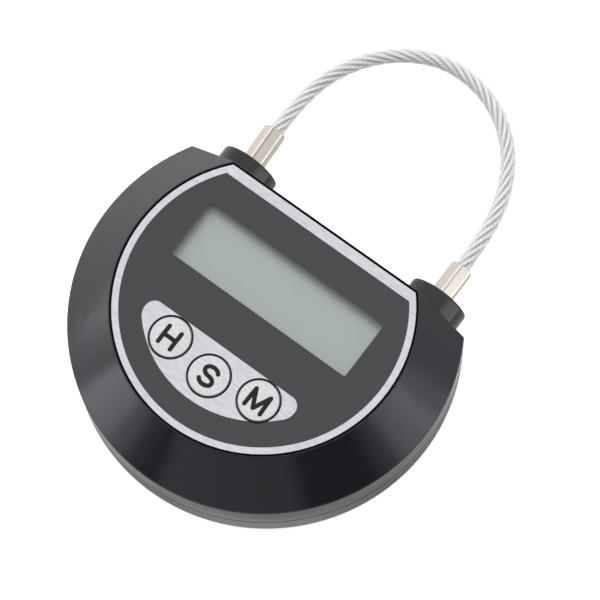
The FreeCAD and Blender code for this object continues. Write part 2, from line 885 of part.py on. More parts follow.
def rack_tooth(x):
    slope = math.tan(math.radians(pressure_angle))
    half = (rack_pitch / 2 - tooth_play / 2) / 2
    tip = half - tooth_height * slope
    foot = half + rack_dedendum * slope
    y0 = bolt_y - rack_face / 2
    corners = [
        V(x - foot, y0, bolt_z),
        V(x - tip, y0, rack_z - tooth_height),
        V(x + tip, y0, rack_z - tooth_height),
        V(x + foot, y0, bolt_z),
        V(x + foot, y0, bolt_z + root),
        V(x - foot, y0, bolt_z + root),
    ]
    outline = Part.makePolygon(corners + corners[:1])
    return Part.Face(outline).extrude(V(0, rack_face, 0))


def latch_bolt():
    """Flat bolt with a rack along its underside; its nose drops into the plug's groove."""
    half = bolt_width / 2
    bolt = block(bolt_tail, bolt_tip, bolt_y - half, bolt_y + half, bolt_z, bolt_z + bolt_thickness)
    nose = [e for e in bolt.Edges if abs(e.BoundBox.XMin - bolt_tip) < near]
    bolt = bolt.makeChamfer(bolt_nose, nose)
    teeth = [rack_tooth(pinion_x + i * rack_pitch) for i in range(rack_first, rack_last + 1)]
    return join([bolt] + teeth)


def latch_housing():
    """Moulded gearcase: open bolt channel, rack slot, pinion well and a cradle for the socket."""
    body = block(housing_x, channel_x1, housing_y, housing_y1, floor_thickness, housing_top)
    x0 = channel_x1 - housing_overlap
    cradle = block(x0, housing_x1, housing_y, housing_y1, floor_thickness, rope_z)
    ears = [z_rod(pad_radius, p, pad_top, ear_top) for p in ear_places]
    first, second = ear_places
    x1 = housing_x + housing_overlap
    y0 = first.y - pad_radius
    ears.append(block(first.x, x1, y0, y0 + 2 * pad_radius, pad_top, ear_top))
    x0 = second.x - pad_radius
    y1 = housing_y + housing_overlap
    ears.append(block(x0, x0 + 2 * pad_radius, second.y, y1, pad_top, ear_top))
    body = join([body, cradle] + ears)

    slot_half = rack_face / 2 + slide_gap * 2
    slot_z = rack_z - tooth_height - rack_room
    slot_x1 = channel_x1 + over
    tip = pitch_radius + tooth_height
    well = tip + pinion_room
    low = bolt_y - slot_half
    high = bolt_y + slot_half
    start = bolt_tail - slide_gap
    channel_z = bolt_z - slide_gap
    cuts = [
        block(start, TOOL, bolt_y - channel_half, bolt_y + channel_half, channel_z, TOOL),
        block(start, slot_x1, low, high, slot_z, TOOL),
        block(pinion_x - well, pinion_x + well, low, high, 0, TOOL),
        y_rod(tip + shaft_room, pinion_x, motor_z, housing_y - over, bolt_y),
        y_rod(shaft_radius + shaft_fit, pinion_x, motor_z, bolt_y, housing_y1 - shaft_room),
        y_rod(sleeve_radius, release_x, rope_z, 0, TOOL),
    ]
    cuts += [z_rod(small_hole_radius, p, 0, TOOL) for p in ear_places]
    return body.cut(cuts)


def latch_cover():
    """Folded steel lid over the bolt channel, with a tab down each side at both ends."""
    z1 = housing_top + cover_thickness
    z0 = housing_top - cover_tab_drop
    lid = block(housing_x, channel_x1, housing_y, housing_y1, housing_top, z1)
    tabs = []
    for x in (housing_x + cover_tab_inset, channel_x1 - cover_tab_inset - cover_tab_width):
        for y in (housing_y - cover_thickness, housing_y1):
            tabs.append(block(x, x + cover_tab_width, y, y + cover_thickness, z0, z1))
    return join([lid] + tabs)


def gear_motor():
    """Slim can motor with a planetary head; its output bore takes the pinion's shaft."""
    neck = motor_radius - motor_step
    rim = neck - motor_rim
    rim_y = motor_y + motor_rim_length
    head_y = housing_y - gear_head_length
    profile = [
        (0, motor_y),
        (rim, motor_y),
        (rim, rim_y),
        (neck, rim_y),
        (neck, motor_y + motor_neck),
        (motor_radius, motor_y + motor_neck),
        (motor_radius, head_y - gear_head_groove),
        (neck, head_y - gear_head_groove),
        (neck, head_y),
        (motor_radius, head_y),
        (motor_radius, housing_y),
        (0, housing_y),
    ]
    pieces = [spin_y(profile, pinion_x, motor_z)]
    z0 = motor_z - terminal_thickness / 2
    for side in (-1, 1):
        x0 = pinion_x + side * terminal_pitch / 2 - terminal_width / 2
        x1 = x0 + terminal_width
        y0 = motor_y - terminal_length
        pieces.append(block(x0, x1, y0, motor_y + root, z0, z0 + terminal_thickness))
    bore_y = housing_y - shaft_grip - shaft_end_gap
    return join(pieces).cut(y_rod(shaft_radius + shaft_fit, pinion_x, motor_z, bore_y, TOOL))


def motor_strap():
    y1 = strap_y + strap_width
    outer = motor_radius + strap_thickness
    before = strap_y - over
    after = y1 + over
    hoop = y_rod(outer, pinion_x, motor_z, strap_y, y1)
    legs = block(pinion_x - outer, pinion_x + outer, strap_y, y1, pad_top, motor_z)
    bore = y_rod(motor_radius, pinion_x, motor_z, before, after)
    inside = block(pinion_x - motor_radius, pinion_x + motor_radius, before, after, 0, motor_z)
    below = block(-TOOL, TOOL, -TOOL, TOOL, 0, pad_top)
    pieces = [join([hoop, legs]).cut([bore, inside, below])]
    foot_z = pad_top + foot_thickness
    reach = strap_reach + pad_radius
    pieces.append(block(pinion_x - reach, pinion_x - motor_radius, strap_y, y1, pad_top, foot_z))
    pieces.append(block(pinion_x + motor_radius, pinion_x + reach, strap_y, y1, pad_top, foot_z))
    return join(pieces).cut([z_rod(small_hole_radius, p, 0, TOOL) for p in strap_places])


# --- Shackle ------------------------------------------------------------------------------------
def collar(x, bore, inner_bore, inner_end):
    """Moulded collar: flange inside the wall, neck in its slot and a round boss outside."""
    soft = collar_edge * (1 - math.sqrt(0.5))
    body = spin_y(
        [
            (bore, flange_y),
            (collar_flange_radius, flange_y),
            (collar_flange_radius, inner_flat),
            (collar_neck_radius, inner_flat),
            (collar_neck_radius, flat_offset),
            (collar_radius, flat_offset),
            (collar_radius, collar_y - collar_edge),
            (collar_radius - soft, collar_y - soft),
            (collar_radius - collar_edge, collar_y),
            (bore, collar_y),
        ],
        x,
        rope_z,
    )
    if inner_end > flange_y:
        body = body.cut(y_rod(inner_bore, x, rope_z, flange_y - over, inner_end))
    return body


def socket_sleeve():
    """Steel socket for the release plug, with a side window for the bolt."""
    tube = y_rod(sleeve_radius, release_x, rope_z, sleeve_y, sleeve_end)
    bore = pin_radius + pin_fit
    tube = tube.cut(y_rod(bore, release_x, rope_z, sleeve_y + sleeve_wall, sleeve_end + over))
    gap = 2 * slide_gap
    half = bolt_width / 2 + gap
    z0 = bolt_z - gap
    z1 = bolt_z + bolt_thickness + gap
    return tube.cut(block(-TOOL, release_x, bolt_y - half, bolt_y + half, z0, z1))


def hex_barrel(x, y, grip_y, turn):
    """Crimped hexagonal barrel along Y with rounded corners and a blind bore for the rope."""
    corner = hex_width / math.sqrt(3)
    points = []
    for i in range(6):
        angle = math.radians(90 + turn + 60 * i)
        points.append(V(x + corner * math.cos(angle), y, rope_z + corner * math.sin(angle)))
    prism = Part.Face(Part.makePolygon(points + points[:1])).extrude(V(0, hex_length, 0))
    corners = [e for e in prism.Edges if e.BoundBox.YLength > hex_length / 2]
    prism = prism.makeFillet(hex_round, corners)
    soft = spin_y(
        [
            (0, y),
            (corner + near, y),
            (corner + near, y + hex_length - hex_edge - near),
            (corner - hex_edge, y + hex_length),
            (0, y + hex_length),
        ],
        x,
        rope_z,
    )
    barrel = prism.common(soft)
    return barrel.cut(y_rod(rope_radius + rope_fit, x, rope_z, grip_y, y + hex_length + over))


def anchor_terminal():
    """Captive rope end: a headed stud held by a clip, with its crimped barrel leaning outwards."""
    stud = spin_y(
        [
            (0, stud_y),
            (pin_radius - stud_edge, stud_y),
            (pin_radius, stud_y + stud_edge),
            (pin_radius, clip_y),
            (clip_groove_radius, clip_y),
            (clip_groove_radius, flange_y),
            (pin_radius, flange_y),
            (pin_radius, anchor_hex_y),
            (0, anchor_hex_y),
        ],
        anchor_x,
        rope_z,
    )
    grip = anchor_hex_y + hex_length - rope_grip
    barrel = hex_barrel(anchor_x, anchor_hex_y, grip, anchor_turn)
    y0 = anchor_hex_y - over
    neck = y_rod(hex_width / 2 - hex_sunk, anchor_x, rope_z, y0, anchor_hex_y + stud_edge)
    barrel.rotate(V(anchor_x, anchor_hex_y, rope_z), Z_AXIS, anchor_lean)
    return join([stud, neck, barrel])


def anchor_clip():
    ring = y_rod(clip_radius, anchor_x, rope_z, clip_y, flange_y)
    y0 = clip_y - over
    y1 = flange_y + over
    bore = y_rod(clip_groove_radius, anchor_x, rope_z, y0, y1)
    half = clip_groove_radius * clip_mouth
    mouth = block(anchor_x - half, anchor_x + half, y0, y1, -TOOL, rope_z)
    return ring.cut([bore, mouth])


def release_plug():
    """Free rope end: a nosed pin with the latch groove, ending in its crimped barrel."""
    half = groove_width / 2
    pin = spin_y(
        [
            (0, pin_y),
            (groove_radius, pin_y),
            (pin_radius, land_y),
            (pin_radius, bolt_y - half),
            (groove_radius, bolt_y - half),
            (groove_radius, bolt_y + half),
            (pin_radius, bolt_y + half),
            (pin_radius, release_hex_y),
            (0, release_hex_y),
        ],
        release_x,
        rope_z,
    )
    grip = release_hex_y + hex_length - rope_grip
    return join([pin, hex_barrel(release_x, release_hex_y, grip, release_turn)])


def rope_route():
    """Corner points of the rope's centreline, from the bottom of one barrel's bore to the other."""
    lean = math.tan(math.radians(anchor_lean))
    first_y = anchor_hex_y + hex_length - rope_grip
    second_y = first_y + rope_anchor_run
    last_y = release_hex_y + hex_length - rope_grip
    route = [
        (anchor_x - lean * (first_y - anchor_hex_y), first_y),
        (anchor_x - lean * (second_y - anchor_hex_y), second_y),
    ]
    route += rope_crown
    route += [(release_x, last_y + rope_release_run), (release_x, last_y)]
    return [V(x, y, rope_z) for x, y in route]


def rope_path(route):
    """Straight runs joined by tangent arcs, each as large as its two runs allow."""
    edges = []
    at = route[0]
    length = 0.0
    for before, here, after in zip(route, route[1:], route[2:]):
        back = (before - here).normalize()
        on = (after - here).normalize()
        turn = math.pi - back.getAngle(on)
        reach = bend_share * min((before - here).Length, (after - here).Length)
        radius = reach / math.tan(turn / 2)
        first = here + back * reach
        last = here + on * reach
        inward = radius / math.cos(turn / 2) - radius
        middle = here + (back + on).normalize() * inward
        edges.append(Part.LineSegment(at, first).toShape())
        edges.append(Part.Arc(first, middle, last).toShape())
        length += (first - at).Length + radius * turn
        print(f"rope arc radius {radius:6.2f} mm, turn {math.degrees(turn):5.1f} degrees")
        at = last
    edges.append(Part.LineSegment(at, route[-1]).toShape())
    length += (route[-1] - at).Length
    return Part.Wire(edges), length


def shackle_cable():
    route = rope_route()
    path, length = rope_path(route)
    section = Part.Wire(Part.Circle(route[0], route[1] - route[0], rope_radius).toShape())
    tube = path.makePipeShell([section], True, True)
    expected = math.pi * rope_radius**2 * length
    print(f"rope length {length:.2f} mm, volume {tube.Volume:.2f} of {expected:.2f} mm3")
    print("rope route", [(round(p.x, 2), round(p.y, 2)) for p in route])
    return tube


# --- Fasteners -----------------------------------------------------------------------------------
def screw(place, seat, down, head_radius, head_height, shaft_radius, length):
    """Pan-head screw. Its head's underside is at seat, and its shaft runs down or up from there."""
    way = -1 if down else 1
    head = rod(head_radius, V(place.x, place.y, seat), Z_AXIS * -way, head_height)
    far = seat - way * head_height
    rim = [e for e in head.Edges if abs(e.BoundBox.ZMin - far) < near]
    rim = [e for e in rim if e.BoundBox.ZLength < near]
    head = head.makeFillet(head_height * head_rounding, rim)
    start = V(place.x, place.y, seat - way * root)
    shaft = rod(shaft_radius, start, Z_AXIS * way, length + root)
    long_half = head_radius * cross_length
    thin_half = head_radius * cross_width
    depth = head_height * cross_depth
    z0 = min(far - way * over, far + way * depth)
    z1 = z0 + depth + over
    cross = [
        block(place.x - a, place.x + a, place.y - b, place.y + b, z0, z1)
        for a, b in ((long_half, thin_half), (thin_half, long_half))
    ]
    return join([head, shaft]).cut(cross)


def case_screws():
    seat = case_head_sink + case_head_height
    shaft = (case_shaft_radius, case_shaft_length)
    return Part.makeCompound(
        [screw(p, seat, False, case_head_radius, case_head_height, *shaft) for p in case_posts]
    )


def small_screw(place, seat, down):
    length = small_shaft_length - small_pilot_room
    return screw(
        place, seat, down, small_head_radius, small_head_height, small_shaft_radius, length
    )


def board_screws():
    return Part.makeCompound([small_screw(p, pcb_z, False) for p in board_posts])


def mechanism_screws():
    screws = [small_screw(p, ear_top, True) for p in ear_places]
    seat = pad_top + foot_thickness
    length = seat - floor_left - small_pilot_room
    for p in strap_places:
        screws.append(
            screw(p, seat, True, small_head_radius, small_head_height, small_shaft_radius, length)
        )
    return Part.makeCompound(screws)


# --- Build -----------------------------------------------------------------------------------------
os.makedirs("parts", exist_ok=True)

save("front_shell", front_shell())
save("rear_shell", rear_shell())
save("face_panel", face_panel())
save("foil_border", foil_border())
save("foil_key_patch", foil_key_patch())
save("display_window", display_window())
save("lcd_gasket", lcd_gasket())
save("lcd_panel", lcd_panel())
save("lcd_frame", lcd_frame())
save("zebra_strip", zebra_strip())
save("main_pcb", main_pcb())
save("controller_chip", controller_chip())
save("tact_switches", tact_switches())
for key, spot in key_places.items():
    save(key + "_key", key_cap(spot))
    save(key + "_plunger", key_plunger(spot))
save("charge_socket", charge_socket())
save("battery_cell", battery_cell())
save("battery_tape", battery_tape())
save("gear_motor", gear_motor())
save("motor_strap", motor_strap())
save("drive_pinion", drive_pinion())
save("latch_bolt", latch_bolt())
save("latch_housing", latch_housing())
save("latch_cover", latch_cover())
save("socket_sleeve", socket_sleeve())
save("release_collar", collar(release_x, pin_radius + pin_fit, sleeve_radius, sleeve_end))
save("anchor_collar", collar(anchor_x, pin_radius, pin_radius, flange_y))
save("anchor_terminal", anchor_terminal())
save("anchor_clip", anchor_clip())
save("release_plug", release_plug())
save("shackle_cable", shackle_cable())
save("case_screws", case_screws())
save("board_screws", board_screws())
save("mechanism_screws", mechanism_screws())

print(f"latch travel {latch_travel:.3f} mm, pitch radius {pitch_radius:.3f} mm, face at {face_z:.2f} mm")
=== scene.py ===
import math

import bmesh
import bpy
from mathutils import Matrix, Vector
from mathutils.bvhtree import BVHTree


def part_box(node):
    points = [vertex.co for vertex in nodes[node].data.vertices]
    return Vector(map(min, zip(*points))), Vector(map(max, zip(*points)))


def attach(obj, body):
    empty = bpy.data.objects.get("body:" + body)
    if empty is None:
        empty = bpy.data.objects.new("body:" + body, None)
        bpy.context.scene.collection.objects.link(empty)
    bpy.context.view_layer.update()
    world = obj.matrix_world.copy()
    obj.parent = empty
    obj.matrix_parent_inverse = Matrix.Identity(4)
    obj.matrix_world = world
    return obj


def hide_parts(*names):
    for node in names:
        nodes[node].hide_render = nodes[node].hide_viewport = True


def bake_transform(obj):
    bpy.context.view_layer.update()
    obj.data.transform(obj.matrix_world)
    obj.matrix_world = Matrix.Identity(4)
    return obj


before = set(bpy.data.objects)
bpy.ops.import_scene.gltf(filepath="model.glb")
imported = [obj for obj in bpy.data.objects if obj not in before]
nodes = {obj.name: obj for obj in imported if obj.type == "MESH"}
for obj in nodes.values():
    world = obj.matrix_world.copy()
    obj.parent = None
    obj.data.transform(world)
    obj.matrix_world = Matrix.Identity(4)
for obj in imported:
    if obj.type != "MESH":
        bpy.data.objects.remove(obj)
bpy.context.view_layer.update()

MM = 0.001

# --- Camera -----------------------------------------------------------------------------------
# Close to straight down on the face, turned so that the shackle runs to the upper right.
camera_right = Vector((0.79977, 0.59953, -0.03042))
camera_up = Vector((-0.56872, 0.77294, 0.28129))
camera_back = Vector((0.19215, -0.20767, 0.95914))
camera_place = Vector((96.74, -95.83, 481.59)) * MM

camera_data = bpy.data.cameras.new("camera")
camera_data.lens = 180.0
camera_data.sensor_width = 36.0
camera_data.clip_start = 0.01
camera_data.clip_end = 20.0
camera = bpy.data.objects.new("camera", camera_data)
bpy.context.scene.collection.objects.link(camera)
camera_axes = Matrix((camera_right, camera_up, camera_back)).transposed()
camera.matrix_world = Matrix.Translation(camera_place) @ camera_axes.to_4x4()
bpy.context.scene.camera = camera


# --- Colour and material helpers --------------------------------------------------------------
def hex_colour(text):
    """An sRGB hex colour as the linear values that a shader takes."""
    channels = [int(text[i:i + 2], 16) / 255 for i in (1, 3, 5)]
    linear = [c / 12.92 if c <= 0.04045 else ((c + 0.055) / 1.055) ** 2.4 for c in channels]
    return (*linear, 1.0)


def node(owner, kind, sockets=None, **settings):
    """Adds a node to a material or world. Each socket takes a value, another node's output, or
    another node, which stands for its first output."""
    made = owner.node_tree.nodes.new(kind)
    for name, value in settings.items():
        setattr(made, name, value)
    for socket, value in (sockets or {}).items():
        if isinstance(value, bpy.types.Node):
            value = value.outputs[0]
        if isinstance(value, bpy.types.NodeSocket):
            owner.node_tree.links.new(made.inputs[socket], value)
        else:
            made.inputs[socket].default_value = value
    return made


MIX_A, MIX_B, MIXED = 6, 7, 2  # a Mix node's colour sockets


def new_material(name):
    material = bpy.data.materials.new(name)
    material.use_nodes = True
    material.node_tree.nodes.clear()
    return material


def where(material, *limits):
    """1 where the surface keeps every limit, fading to 0 past any of them. A limit is a texture
    coordinate, its axis, and the values at which it is fully past and fully kept."""
    place = node(material, "ShaderNodeTexCoord")
    share = 1.0
    for output, axis, past, kept in limits:
        parts = node(material, "ShaderNodeSeparateXYZ", {0: place.outputs[output]})
        within = node(material, "ShaderNodeMapRange", {
            "Value": parts.outputs[axis], "From Min": past, "From Max": kept,
        })
        share = node(material, "ShaderNodeMath", {0: share, 1: within}, operation="MULTIPLY")
    return share


# --- Finishes ---------------------------------------------------------------------------------
def grain(material, sizes):
    """Noise whose blotches are about sizes millimetres long in X, Y and Z."""
    place = node(material, "ShaderNodeTexCoord")
    scaled = node(material, "ShaderNodeMapping", {
        "Vector": place.outputs["Object"], "Scale": [1 / (size * MM) for size in sizes],
    })
    return node(material, "ShaderNodeTexNoise", {
        "Vector": scaled, "Scale": 1.0, "Detail": 2.0, "Roughness": 0.55,
    }).outputs["Fac"]


def coat(material, colours, roughness, sizes, depth, **sockets):
    """A shader whose colour, roughness and relief all vary with one fine grain.

    colours and roughness give the two ends between which the grain moves them, sizes the
    grain's length in millimetres in X, Y and Z, and depth its relief in millimetres."""
    noise = grain(material, sizes)
    colour = node(material, "ShaderNodeMix", {
        0: noise, MIX_A: hex_colour(colours[0]), MIX_B: hex_colour(colours[1]),
    }, data_type="RGBA")
    rough = node(material, "ShaderNodeMapRange", {
        "Value": noise, "To Min": roughness[0], "To Max": roughness[1],
    })
    bump = node(material, "ShaderNodeBump", {"Height": noise, "Distance": depth * MM})
    return node(material, "ShaderNodeBsdfPrincipled", {
        "Base Color": colour.outputs[MIXED], "Roughness": rough, "Normal": bump, **sockets,
    })


def finish(name, *look, **sockets):
    """A material with one coat all over."""
    material = new_material(name)
    node(material, "ShaderNodeOutputMaterial", {"Surface": coat(material, *look, **sockets)})
    return material


def two_coats(material, share, first, second):
    """Gives a material one coat where share is 0 and another where it is 1."""
    blended = node(material, "ShaderNodeMixShader", {0: share, 1: first, 2: second})
    node(material, "ShaderNodeOutputMaterial", {"Surface": blended})
    return material


METAL = {"Metallic": 1.0}
ABS = {"IOR": 1.54}
rope_height = 10.6 * MM
groove_floor = 18.85 * MM
face_height = 19.4 * MM
# The groove floor's dull skin is painted shade.
groove_shade_end, groove_shade_full = 0.1 * MM, 0.05 * MM  # how far off the groove's floor its dull skin goes
film_end, film_full = 0.6 * MM, 0.5 * MM  # how far below the face the silver film may lie
# Limits for where(): faces within about 18 and 14 degrees of level, and the sides.
FACE_UP = ("Normal", "Z", 0.9, 0.95)
LEVEL = ("Normal", "Z", 0.9, 0.97)
UPRIGHT = ("Normal", "Z", 0.6, 0.4)

# Injection-moulded ABS from a polished tool: near black with a soft, faintly violet gloss, very
# slightly wavy. The floor of the groove round the panel gets a dull, barely mirroring skin:
# painted shade that makes the groove read dark.
gloss_abs = new_material("polished_moulded_abs")
two_coats(
    gloss_abs,
    where(
        gloss_abs,
        ("Object", "Z", groove_floor + groove_shade_end, groove_floor + groove_shade_full),
        ("Object", "Z", groove_floor - groove_shade_end, groove_floor - groove_shade_full),
        FACE_UP,
    ),
    coat(
        gloss_abs, ("#101015", "#14131a"), (0.08, 0.14), (5.0, 5.0, 5.0), 0.03,
        **ABS, **{"Specular Tint": hex_colour("#f8f5ff")},
    ),
    # Painted shade: a dull skin that barely mirrors, on the groove's floor.
    coat(gloss_abs, ("#0e0e10", "#131315"), (0.9, 1.0), (0.3, 0.3, 0.3), 0.01, IOR=1.1),
)
# The same ABS from a spark-eroded tool: a duller sheen with a fine leathery grain. Its grey,
# lighter than the polished ABS, is a painted reflection of the white paper close below.
satin_abs = finish(
    "spark_textured_abs", ("#363639", "#404043"), (0.18, 0.26), (0.3, 0.3, 0.3), 0.004, IOR=1.6
)
# The same ABS from a bored tool: glossy, with faint drag lines along the boss.
drawn_abs = finish(
    "bored_tool_abs", ("#0e0e10", "#131315"), (0.12, 0.2), (0.9, 4.0, 0.9), 0.006, **ABS
)
# Polycarbonate film printed dark grey on its back: even colour under a faint satin top. Its cut
# edges are pale grey, partly the unprinted film and partly painted light that lifts the shaded
# edge round the window.
printed_film = new_material("printed_polycarbonate_film")
two_coats(
    printed_film, where(printed_film, UPRIGHT),
    coat(printed_film, ("#29282c", "#2c2b2f"), (0.26, 0.34), (0.5, 0.5, 0.5), 0.0005, IOR=1.58),
    coat(printed_film, ("#6c6b74", "#7c7b84"), (0.4, 0.5), (0.5, 0.5, 0.5), 0.0005, IOR=1.58),
)
# Pad-printed black ink: dead flat, slightly uneven where it thins out.
key_ink = finish(
    "pad_printed_black_ink", ("#161618", "#242427"), (0.5, 0.65), (0.2, 0.2, 0.2), 0.001,
    IOR=1.33,
)
# Closed-cell foam and conductive rubber: flat black with fine pores.
black_foam = finish(
    "die_cut_black_foam", ("#0c0c0c", "#191919"), (0.85, 0.95), (0.3, 0.3, 0.3), 0.03
)
# The same foam in a pale violet grey round the display. Its paleness is painted light that
# lifts the shaded walls and the shadow on the display's edges: flat, with fine pores.
grey_foam = finish(
    "die_cut_grey_foam", ("#cfcdd8", "#dddbe6"), (0.85, 0.95), (0.3, 0.3, 0.3), 0.02
)
# Blank reflective display glass: grey-green, even, with a hint of its reflector's mottle.
display_glass = finish(
    "reflective_lcd_glass", ("#a2a6a7", "#a6aaab"), (0.3, 0.4), (0.6, 0.6, 0.6), 0.0005,
    IOR=1.52,
)
# Unfilled white ABS, as moulded: chalky white with soft gloss.
white_abs = finish(
    "white_moulded_abs", ("#dcdcd6", "#e8e8e4"), (0.4, 0.5), (0.4, 0.4, 0.4), 0.004, **ABS
)
# Solder mask over copper on glass fibre: deep green, glossy, with the weave just showing.
solder_mask = finish(
    "green_solder_mask", ("#0b3d1e", "#11532a"), (0.25, 0.35), (0.7, 0.7, 0.7), 0.004
)
# Transfer-moulded epoxy: flat black with a stony grain.
black_epoxy = finish(
    "moulded_black_epoxy", ("#141414", "#202021"), (0.55, 0.7), (0.15, 0.15, 0.15), 0.004
)
# Nickel-plated pressed steel: grey-white metal with fine rolling lines.
nickel_steel = finish(
    "nickel_plated_steel", ("#b4b2ae", "#c8c6c2"), (0.22, 0.34), (0.12, 1.4, 0.12), 0.0015,
    **METAL,
)
# Embossed aluminium laminate round a lithium cell: soft silver with a faint crinkle.
pouch_foil = finish(
    "laminated_pouch_foil", ("#a8aaae", "#c2c4c8"), (0.3, 0.42), (1.2, 1.2, 1.2), 0.01,
    **METAL,
)
# Hobbed brass: yellow metal with cutter lines along the teeth.
hobbed_brass = finish(
    "hobbed_brass", ("#b98f45", "#cfa65a"), (0.22, 0.34), (0.1, 0.5, 0.1), 0.002, **METAL
)
# Moulded acetal: dark grey, waxy.
waxy_acetal = finish(
    "moulded_acetal", ("#26262a", "#303034"), (0.35, 0.45), (0.5, 0.5, 0.5), 0.004, IOR=1.48
)

# Where the painted highlight and painted shade strips of a crimped barrel start past its
# corners, and how wide they are, both in shares of a flat.
glint_strip_start, glint_strip_width = -0.12, 0.17
shade_strip_start, shade_strip_width = 0.09, 0.07
strip_blur = 0.02
# Where round the barrel the painted shade strips fade out, low on its -X side.
shade_side_end, shade_side_full = -0.95, -0.85  # radians from straight up towards +X
crimp_edge = 0.2 * MM


def crimped_barrel(name, foot, lean, turn):
    """Nickel-plated brass, crimped in a hexagonal die: warm champagne metal with the die's fine
    drag lines along it. Each corner has a bright strip of painted highlight, and beside it a
    dark strip of painted shade, except low on the barrel's -X side.

    foot is where the hexagon's axis starts, lean how far the axis turns from +Y about +Z, and
    turn how far a corner leans from straight up, both in degrees."""
    material = new_material(name)
    place = node(material, "ShaderNodeTexCoord").outputs["Object"]
    placed = node(material, "ShaderNodeMapping", {
        "Vector": place, "Location": foot, "Rotation": (0.0, 0.0, math.radians(lean)),
    }, vector_type="TEXTURE")
    parts = node(material, "ShaderNodeSeparateXYZ", {0: placed})
    from_up = node(material, "ShaderNodeMath", {
        0: parts.outputs["X"], 1: parts.outputs["Z"],
    }, operation="ARCTAN2")
    flats = node(material, "ShaderNodeMath", {  # counted in sixths of a turn
        0: from_up, 1: 3 / math.pi, 2: turn / 60,
    }, operation="MULTIPLY_ADD")
    crimped = node(material, "ShaderNodeMapRange", {
        "Value": parts.outputs["Y"], "From Min": 0.0, "From Max": crimp_edge,
    })

    def strip(start, width):
        """1 in a strip along each corner of the crimped part."""
        past = node(material, "ShaderNodeMath", {0: flats, 1: start}, operation="SUBTRACT")
        share = node(material, "ShaderNodeMath", {0: past}, operation="FRACT")
        inside = node(material, "ShaderNodeMapRange", {
            "Value": share, "From Min": width + strip_blur, "From Max": width - strip_blur,
        })
        return node(material, "ShaderNodeMath", {0: crimped, 1: inside}, operation="MULTIPLY")

    def metal(*colours):
        return coat(material, colours, (0.16, 0.26), (0.12, 2.5, 0.12), 0.0015, **METAL)

    # Bright strips along the corners are painted highlight, dark strips beside them painted
    # shade.
    glinting_corners = node(material, "ShaderNodeMixShader", {
        0: strip(glint_strip_start, glint_strip_width),
        1: metal("#c4bcb3", "#d8d1c8"), 2: metal("#e8e2dc", "#f4efea"),
    })
    shade_side = node(material, "ShaderNodeMapRange", {
        "Value": from_up, "From Min": shade_side_end, "From Max": shade_side_full,
    })
    shaded_strips = node(material, "ShaderNodeMath", {
        0: strip(shade_strip_start, shade_strip_width), 1: shade_side,
    }, operation="MULTIPLY")
    return two_coats(material, shaded_strips, glinting_corners, metal("#7f766f", "#978e85"))


captive_foot = (-0.01802, 0.0192, rope_height)
free_foot = (0.02055, 0.0183, rope_height)
captive_barrel = crimped_barrel("captive_crimped_nickel", captive_foot, lean=3, turn=10)
free_barrel = crimped_barrel("free_crimped_nickel", free_foot, lean=0, turn=3)

glint_start, glint_full = 1.11 * MM, 1.17 * MM  # from the rope's axis; the strands reach 1.18 mm
# Galvanised wire drawn and laid into strands: half dull and half bright, grey in the grooves,
# with a painted highlight, a white line along the top of each strand, for the glint of the
# sleeve.
drawn_wire = new_material("drawn_galvanised_wire")
off_axis = node(drawn_wire, "ShaderNodeAttribute", attribute_name="off_axis").outputs["Fac"]
strand_glint = node(drawn_wire, "ShaderNodeMapRange", {
    "Value": off_axis, "From Min": glint_start, "From Max": glint_full,
})
two_coats(
    drawn_wire, strand_glint,
    coat(drawn_wire, ("#dedee0", "#f5f5f6"), (0.25, 0.4), (0.2, 0.2, 0.2), 0.001, Metallic=0.5),
    coat(drawn_wire, ("#fafafa", "#ffffff"), (0.25, 0.4), (0.2, 0.2, 0.2), 0.001, Metallic=0.1),
)


def silver_face(name, *look):
    """Bright metal film on the faces that point up at the top, and bare ABS elsewhere, in a
    light grey that is partly painted light, lifting the shaded gaps round keys and foil.
    """
    material = new_material(name)
    near_face = ("Object", "Z", face_height - film_end, face_height - film_full)
    on_top = where(material, LEVEL, near_face)
    # The sides' light grey is partly painted light in the shaded gaps.
    bare_lit_sides = coat(material, ("#98989f", "#a4a4ab"), (0.4, 0.5), (0.3, 0.3, 0.3), 0.002, **ABS)
    return two_coats(material, on_top, bare_lit_sides, coat(material, *look, **METAL))


# Aluminium foil brushed along the row of keys: bright, with short hair-fine streaks, drawn
# about twice their real width so that they show.
brushed_foil = silver_face(
    "brushed_aluminium_foil", ("#b9b9c0", "#f3f3f8"), (0.3, 0.45), (1.4, 0.25, 0.25), 0.001
)
# Key caps hot-stamped with the same silver, a little whiter and finer.
stamped_silver = silver_face(
    "hot_stamped_silver_key", ("#c0c0c3", "#fbfbfc"), (0.32, 0.45), (0.6, 0.25, 0.25), 0.001
)


scuff_size = (0.6, 0.6, 0.6)  # millimetres
milk_roughness = 0.4
milk_edge = 0.35  # how far in from its edges a tube counts as seen edge on
milk_start = 0.15  # and from where on that scale the milk thickens


